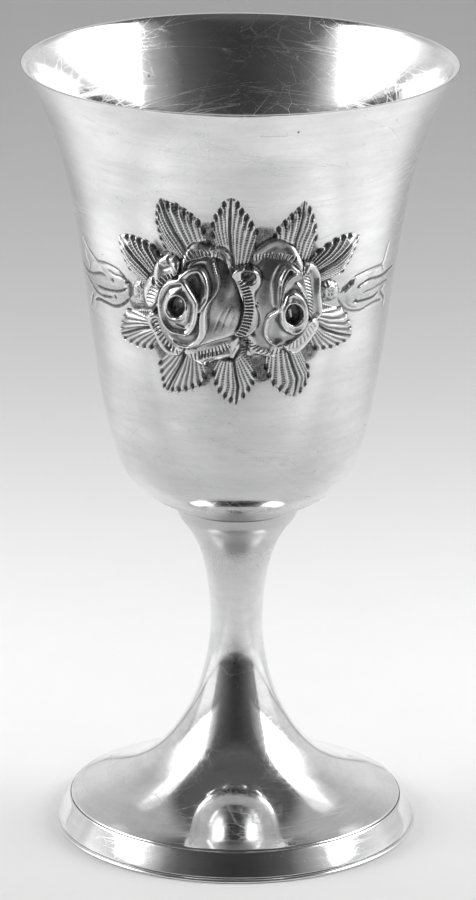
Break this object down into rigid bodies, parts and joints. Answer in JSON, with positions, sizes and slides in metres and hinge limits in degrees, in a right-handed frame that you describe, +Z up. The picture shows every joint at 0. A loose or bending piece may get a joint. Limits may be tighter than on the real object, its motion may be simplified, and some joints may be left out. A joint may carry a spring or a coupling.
{
  "type": "goblet",
  "caption": "Footed drinking goblet in sheet silver: flared bowl with a chased rose spray on a hollow trumpet stem and round foot with an applied border and base wire.",
  "frame": {"origin": "centre of the circle that the base wire stands on", "axes": "+Z up along the turning axis; the rose spray faces -Y"},
  "size_m": [0.0897, 0.0896, 0.165],
  "materials": {
    "silver_bowl": "satin polished silver, fine turned lines, dark oxidised recesses in the chased spray",
    "silver_foot": "bright polished silver with fine handling scratches",
    "silver_border": "bright polished silver with small dents and scratches",
    "silver_wire": "polished silver, worn on the edge it stands on"
  },
  "bodies": {
    "root": {"bowl": "silver_bowl", "stem_and_foot": "silver_foot", "foot_border": "silver_border", "base_wire": "silver_wire"}
  },
  "joints": []
}
